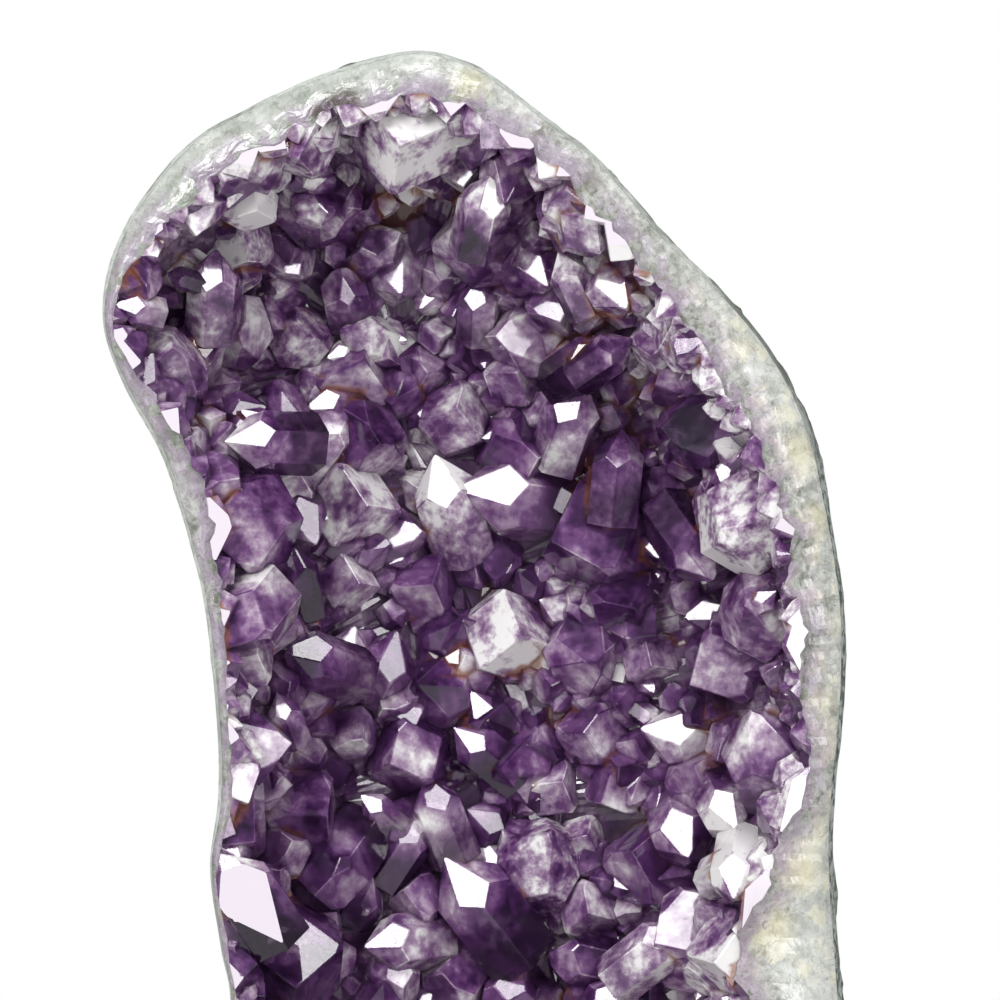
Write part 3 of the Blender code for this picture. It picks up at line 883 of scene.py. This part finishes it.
def make_crust_mesh(coarse, fine):
    """The crust: the bed and all points joined, and trimmed to the hollow."""
    plan_bm = bmesh.new()
    plan_bm.from_mesh(crust_bed(coarse, HOLLOW_TURNS))
    plans = plan_crystals(BVHTree.FromBMesh(plan_bm))
    plan_bm.free()
    bm = bmesh.new()
    bm.faces.layers.int.new("crystal")
    for number, plan in enumerate(plans, 1):
        add_crystal(bm, number, *plan)
    points = bpy.data.meshes.new("points")
    bm.to_mesh(points)
    bm.free()
    mesh = join_solids(crust_bed(fine, FINE_HOLLOW_TURNS), points, "UNION", within=True)
    space = hollow_space(fine, FINE_HOLLOW_TURNS)
    mesh = join_solids(mesh, space, "INTERSECT")
    bm = bmesh.new()
    bm.from_mesh(mesh)
    keep_largest_piece(bm)
    refine(bm)
    mesh = bpy.data.meshes.new("amethyst_points")
    bm.to_mesh(mesh)
    bm.free()
    mark_crust(mesh, plans, space, fine)
    return mesh


class Value:
    """A node's output, with the sums and products that shader maths needs."""

    def __init__(self, finish, socket):
        self.finish = finish
        self.socket = socket

    def reckon(self, operation, *terms, clamp=False):
        inputs = {k: term for k, term in enumerate(terms)}
        settings = {"operation": operation, "use_clamp": clamp}
        return self.finish.node("ShaderNodeMath", settings, inputs)

    def __add__(self, other):
        return self.reckon("ADD", self, other)

    __radd__ = __add__

    def __mul__(self, other):
        return self.reckon("MULTIPLY", self, other)

    __rmul__ = __mul__

    def __sub__(self, other):
        return self.reckon("SUBTRACT", self, other)

    def __rsub__(self, other):
        return self.reckon("SUBTRACT", other, self)

    def __abs__(self):
        return self.reckon("ABSOLUTE", self)

    def up_to(self, other):
        return self.reckon("MINIMUM", self, other)

    def at_least(self, other):
        return self.reckon("MAXIMUM", self, other)

    def clamped(self):
        return self.reckon("ADD", self, 0.0, clamp=True)


class Finish:
    """A node material in the making."""

    def __init__(self, name):
        self.material = bpy.data.materials.new(name)
        self.material.use_nodes = True
        self.tree = self.material.node_tree
        self.tree.nodes.clear()
        self.place = self.node("ShaderNodeTexCoord", output="Object")

    def node(self, kind, settings=None, inputs=None, output=0):
        """Any node: its type, its settings, then the values or links of its sockets."""
        made = self.tree.nodes.new(kind)
        for name, value in (settings or {}).items():
            if name == "stops":
                self.set_stops(made.color_ramp.elements, value)
            else:
                setattr(made, name, value)
        for name, value in (inputs or {}).items():
            socket = made.inputs[name]
            if isinstance(value, Value):
                self.tree.links.new(value.socket, socket)
            else:
                socket.default_value = value
        return Value(self, made.outputs[output])

    def set_stops(self, elements, stops):
        while len(elements) < len(stops):
            elements.new(0.5)
        for element, (position, colour) in zip(elements, stops):
            element.position = position
            element.color = colour

    def mark(self, name):
        return self.node("ShaderNodeAttribute", {"attribute_name": name}, output="Fac")

    def noise(self, size, detail=4.0, rough=0.5, twist=0.0, place=None):
        """Cloudy values from 0 to 1, with features of about this size in metres."""
        inputs = {
            "Vector": place or self.place, "Scale": 1 / size, "Detail": detail,
            "Roughness": rough, "Distortion": twist,
        }
        return self.node("ShaderNodeTexNoise", None, inputs)

    def cells(self, size, place=None, output="Distance"):
        inputs = {"Vector": place or self.place, "Scale": 1 / size}
        return self.node("ShaderNodeTexVoronoi", None, inputs, output)

    def step(self, value, low, high):
        """0 below low, 1 above high, smooth between."""
        settings = {"interpolation_type": "SMOOTHSTEP"}
        inputs = {"Value": value, "From Min": low, "From Max": high}
        return self.node("ShaderNodeMapRange", settings, inputs)

    def mixed(self, share, one, other):
        """Two colours mixed."""
        settings = {"data_type": "RGBA"}
        return self.node("ShaderNodeMix", settings, {0: share, 6: one, 7: other}, output=2)

    def axis(self, name):
        return self.node("ShaderNodeSeparateXYZ", None, {0: self.place}, output=name)

    def small_shift(self, value, reach):
        """A shift along all three axes, up to half of reach either way."""
        inputs = {k: (value - 0.5) * reach for k in range(3)}
        return self.node("ShaderNodeCombineXYZ", None, inputs)

    def bump(self, height, strength, distance):
        inputs = {"Height": height, "Strength": strength, "Distance": distance}
        return self.node("ShaderNodeBump", None, inputs)

    def principled(self, **inputs):
        named = {name.replace("_", " "): value for name, value in inputs.items()}
        return self.node("ShaderNodeBsdfPrincipled", {"distribution": "GGX"}, named)

    def end(self, surface, volume=None):
        """Ends the material in its surface, and in what fills it."""
        output = self.tree.nodes.new("ShaderNodeOutputMaterial")
        self.tree.links.new(surface.socket, output.inputs["Surface"])
        if volume:
            self.tree.links.new(volume.socket, output.inputs["Volume"])
        return self.material


def colour(red, green, blue):
    """A colour written as it looks on a screen, from 0 to 255, as linear light."""
    def linear(part):
        part /= 255
        return part / 12.92 if part <= 0.04045 else ((part + 0.055) / 1.055) ** 2.4

    return (linear(red), linear(green), linear(blue), 1.0)


# Amethyst from the darkest depths to frost: position on the ramp, and colour as seen
AMETHYST_DEPTHS = [
    (0.06, (40, 20, 52)), (0.30, (84, 46, 98)), (0.50, (124, 84, 134)),
    (0.70, (172, 148, 174)), (0.95, (232, 230, 230)),
]


def amethyst_finish():
    """Clear purple quartz with soft clouds inside, milky crystals and rusty seams. Shade is painted in the
    gaps between crystals, and each face is painted lighter or darker for internal reflections.
    """
    f = Finish("amethyst_clear")
    milk, deep, tone, back = f.mark("milk"), f.mark("deep"), f.mark("tone"), f.mark("back")
    along, seam, rust = f.mark("along"), f.mark("seam"), f.mark("rust")
    fade, facet = f.mark("fade"), f.mark("facet")
    zones = f.noise(0.013, 2.0, 0.5)
    mottle = f.noise(0.0032, 3.0, 0.6)
    # Painted shade: darker deep down among the crystals' roots and along the seams between them, less on
    # milky crystals
    gap = ((f.step(along, 1.2, 2.6) * 0.8 + f.step(seam, 0.5, 1.0) * 0.35) * (1 - milk * 0.8)).clamped()
    soft = (zones - 0.5) * (1.1 + milk * 0.6) + (mottle - 0.5) * (0.45 + milk * 0.8)
    # Painted light and shade: each face lighter or darker, standing in for internal reflections
    soft = soft + fade * 0.45 + facet * 0.12
    level = (soft + milk * 0.40 - deep * 0.20 + (tone - 0.5) * 0.25 + 0.49 - gap * 0.22).clamped()
    stops = [(position, colour(*seen)) for position, seen in AMETHYST_DEPTHS]
    body = f.node("ShaderNodeValToRGB", {"stops": stops}, {0: level})
    # The painted shade of the gaps also makes them cloudier
    cloudy = (level * 0.42 + 0.46 + gap * 0.12).up_to(0.92).at_least(back)
    stain_mask = f.step(rust * (0.35 + seam) + (mottle - 0.5) * 0.9, 0.42, 0.95) * 0.8
    body = f.mixed(stain_mask, body, colour(142, 84, 52))
    # Painted shade: near black deep in the gaps
    body = f.mixed(gap * 0.75, body, colour(28, 20, 26))
    body = f.mixed(back, body, colour(206, 198, 208))
    tint = f.mixed(f.step(deep, 0.2, 0.9), colour(248, 242, 250), colour(220, 190, 232))
    tint = f.mixed(stain_mask * 0.6, tint, colour(190, 140, 100))
    clear = f.principled(Base_Color=tint, Roughness=0.02, IOR=1.544, Transmission_Weight=1.0)
    cloudy_quartz = f.principled(Base_Color=body, Roughness=mottle * 0.12 + 0.02, IOR=1.544)
    both = f.node("ShaderNodeMixShader", None, {0: cloudy, 1: clear, 2: cloudy_quartz})
    absorb = f.node(
        "ShaderNodeVolumeAbsorption", None, {"Color": (0.50, 0.26, 0.57, 1.0), "Density": 58.0},
    )
    return f.end(both, absorb)


def quartz_finish():
    """Grainy translucent quartz, ground and polished: greyer by the crystals and to the upper left,
    whiter at the outer edge, and creamy low on the right."""
    f = Finish("quartz_polished")
    x, z, across = f.axis("X"), f.axis("Z"), f.mark("across")
    clouds = f.noise(0.013, 5.0, 0.62, 0.8)
    fine = f.noise(0.0026, 5.0, 0.72, 0.6)
    bent = f.node("ShaderNodeVectorMath", {"operation": "ADD"}, {0: f.place, 1: f.small_shift(fine, 0.006)})
    grains = f.node("ShaderNodeSeparateColor", None, {0: f.cells(0.0021, output="Color")}, output=0)
    crystals = f.cells(0.0060, place=bent, output="Color")
    crystals = f.node("ShaderNodeSeparateColor", None, {0: crystals}, output=1)
    inner = 1 - f.step(across, 0.001, 0.013)
    grainy = (grains - 0.5) * 0.30 + (crystals - 0.5) * 0.40
    shade = (clouds - 0.5) * 1.6 + grainy + (fine - 0.5) * 1.2 - inner * 0.22 + 0.60
    base = f.mixed(shade.clamped(), colour(104, 106, 98), colour(214, 216, 211))
    left = f.step(x * -1, -0.03, 0.05) * f.step(z, 0.24, 0.33)
    base = f.mixed(left * 0.40, base, colour(146, 156, 144))
    base = f.mixed(f.step(across, 0.008, 0.020) * 0.35, base, colour(224, 228, 224))
    creamy = f.step(x, 0.05, 0.10) * f.step(clouds * 0.6 + crystals * 0.4, 0.50, 0.64) * 0.5
    creamy = creamy.at_least(f.mark("cream"))
    base = f.mixed(creamy * 0.7, base, colour(216, 208, 170))
    grown_in = inner * f.step(clouds * 0.7 + crystals * 0.3, 0.40, 0.52)
    base = f.mixed(grown_in * 0.75, base, f.mixed(fine, colour(84, 56, 94), colour(176, 160, 180)))
    base = f.mixed(f.step(fine, 0.57, 0.66) * (inner * 0.5 + 0.25), base, colour(74, 74, 64))
    # Painted shade: dark brown where gaps are marked
    base = f.mixed(f.mark("gap") * f.step(fine, 0.36, 0.50), base, colour(64, 52, 46))
    cracks = (1 - f.step(abs(f.noise(0.017, 3.0, 0.6, 1.5) - 0.5), 0.0, 0.012)) * 0.45
    base = f.mixed(cracks, base, colour(120, 112, 98))
    surface = f.bump(fine * 0.6 + grains * 0.1 + crystals * 0.3, 0.35, 0.0008)
    shader = f.principled(
        Base_Color=base, Roughness=f.step(fine, 0.3, 0.8) * 0.25 + 0.16, IOR=1.544, Normal=surface,
        Subsurface_Weight=0.25, Subsurface_Radius=(0.005, 0.005, 0.005), Subsurface_Scale=1.0,
        Coat_Weight=0.25, Coat_Roughness=0.08,
    )
    return f.end(shader)


def basalt_finish():
    """Dark green-grey rock with pale weathering, rusty stains and a paler rind round the rim."""
    f = Finish("basalt_rough")
    x, y, z = f.axis("X"), f.axis("Y"), f.axis("Z")
    broad = f.noise(0.05, 5.0, 0.6)
    grit = f.noise(0.0035, 5.0, 0.7)
    base = f.mixed(f.step(broad, 0.35, 0.65), colour(58, 64, 60), colour(92, 98, 90))
    base = f.mixed(f.step(grit, 0.52, 0.68) * 0.5, base, colour(132, 136, 124))
    base = f.mixed(f.step(f.noise(0.026, 4.0), 0.56, 0.68) * 0.55, base, colour(120, 88, 62))
    bent = f.node("ShaderNodeVectorMath", {"operation": "ADD"}, {0: f.place, 1: f.small_shift(grit, 0.006)})
    chosen = f.node("ShaderNodeSeparateColor", None, {0: f.cells(0.009, bent, "Color")}, output=0)
    specks = (1 - f.step(f.cells(0.009, bent), 0.08, 0.26)) * f.step(chosen, 0.55, 0.85)
    base = f.mixed(specks * 0.5, base, colour(160, 164, 150))
    front = 1 - f.step(y + (broad - 0.5) * 0.05 + (grit - 0.5) * 0.03, FRONT + 0.008, FRONT + 0.022)
    right = f.step(x, 0.05, 0.10) * (1 - f.step(z, 0.27, 0.31))
    pale = f.mixed(f.step(grit, 0.35, 0.60), colour(164, 172, 164), colour(206, 211, 205))
    pale = f.mixed(f.step(broad + (grit - 0.5) * 0.6, 0.52, 0.60) * 0.45, pale, colour(112, 122, 112))
    rind = f.mixed(right * f.step(grit, 0.40, 0.60), pale, colour(46, 66, 64))
    base = f.mixed(front, base, rind)
    sawn = 1 - f.step(z, 0.0004, 0.0010)
    surface = f.bump(grit * 0.7 + f.noise(0.0012, 3.0) * 0.3, 0.5, 0.0012)
    shader = f.principled(Base_Color=base, Roughness=0.88 - sawn * 0.28 - front * 0.3, Normal=surface)
    return f.end(shader)


def floor_finish():
    """An even pale finish, for what isn't part of the geode."""
    f = Finish("pale_floor")
    base = f.mixed(f.noise(0.25, 2.0), colour(238, 238, 236), colour(236, 236, 234))
    return f.end(f.principled(Base_Color=base, Roughness=0.7))


def add_piece(name, mesh, material, node):
    """Makes a piece that stands for a node of the frame."""
    piece = bpy.data.objects.new(name, mesh)
    bpy.context.scene.collection.objects.link(piece)
    mesh.materials.append(material)
    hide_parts(node)
    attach(piece, "root")
    return piece


# The camera stands level with the upper middle of the geode, well back
VIEW_DISTANCE = 1.4825
VIEW_WIDTH = 1000 * PIXEL
SENSOR = 36.0


def add_camera():
    data = bpy.data.cameras.new("camera")
    data.sensor_width = SENSOR
    data.lens = SENSOR * VIEW_DISTANCE / VIEW_WIDTH
    camera = bpy.data.objects.new("camera", data)
    centre = on_rim(500, 500)
    camera.location = (centre.x, FRONT - VIEW_DISTANCE, centre.y)
    camera.rotation_euler = (math.radians(90), 0, 0)
    bpy.context.scene.collection.objects.link(camera)
    bpy.context.scene.camera = camera


LIT_MIDDLE = Vector((0, 0, HEIGHT * 0.6))


def add_panel(name, place, width, height, power):
    """A soft panel of light that faces the geode."""
    data = bpy.data.lights.new(name, "AREA")
    data.shape = "RECTANGLE"
    data.size = width
    data.size_y = height
    data.energy = power
    light = bpy.data.objects.new(name, data)
    light.location = place
    aim = LIT_MIDDLE - Vector(place)
    light.rotation_euler = aim.to_track_quat("-Z", "Y").to_euler()
    bpy.context.scene.collection.objects.link(light)


# Soft panels: name, place, width, height and power in watts
PANELS = [
    ("key", LAMP, 0.44, 0.44, 13.0),
    ("right_panel", DIM_LAMPS[0], 0.30, 0.55, 5.0),
    ("top_panel", DIM_LAMPS[1], 0.45, 0.30, 5.0),
    ("left_panel", (-0.90, -0.75, 0.30), 0.25, 0.60, 2.6),
    ("low_panel", (0.30, -1.20, 0.12), 0.50, 0.16, 1.6),
]
AMBIENT = 0.36


def add_world():
    """White behind the object, and a softer white as light."""
    world = bpy.data.worlds.new("studio")
    world.use_nodes = True
    tree = world.node_tree
    backdrop = tree.nodes["Background"]
    backdrop.inputs["Color"].default_value = (1, 1, 1, 1)
    backdrop.inputs["Strength"].default_value = 1.0
    around = tree.nodes.new("ShaderNodeBackground")
    around.inputs["Strength"].default_value = AMBIENT
    seen = tree.nodes.new("ShaderNodeLightPath")
    choose = tree.nodes.new("ShaderNodeMixShader")
    tree.links.new(seen.outputs["Is Camera Ray"], choose.inputs[0])
    tree.links.new(around.outputs[0], choose.inputs[1])
    tree.links.new(backdrop.outputs[0], choose.inputs[2])
    tree.links.new(choose.outputs[0], tree.nodes["World Output"].inputs["Surface"])
    bpy.context.scene.world = world


# The floor ends before it would show behind the geode in the camera's view
FLOOR_RADIUS = 0.70


def add_floor():
    bm = bmesh.new()
    bmesh.ops.create_circle(bm, cap_ends=True, segments=96, radius=FLOOR_RADIUS)
    mesh = bpy.data.meshes.new("floor")
    bm.to_mesh(mesh)
    bm.free()
    mesh.materials.append(floor_finish())
    floor = bpy.data.objects.new("floor", mesh)
    bpy.context.scene.collection.objects.link(floor)


add_camera()
coarse_ribs = make_ribs(COARSE_ROUND)
fine_ribs = make_ribs(FINE_ROUND, RAGGED)
add_piece("basalt_rock", make_basalt_mesh(fine_ribs), basalt_finish(), "basalt_matrix")
add_piece("quartz_rim", make_band_mesh(fine_ribs), quartz_finish(), "quartz_band")
add_piece("amethyst_points", make_crust_mesh(coarse_ribs, fine_ribs), amethyst_finish(),
          "amethyst_crust")
add_world()
add_floor()
for panel in PANELS:
    add_panel(*panel)
bpy.context.scene.view_settings.view_transform = "Standard"
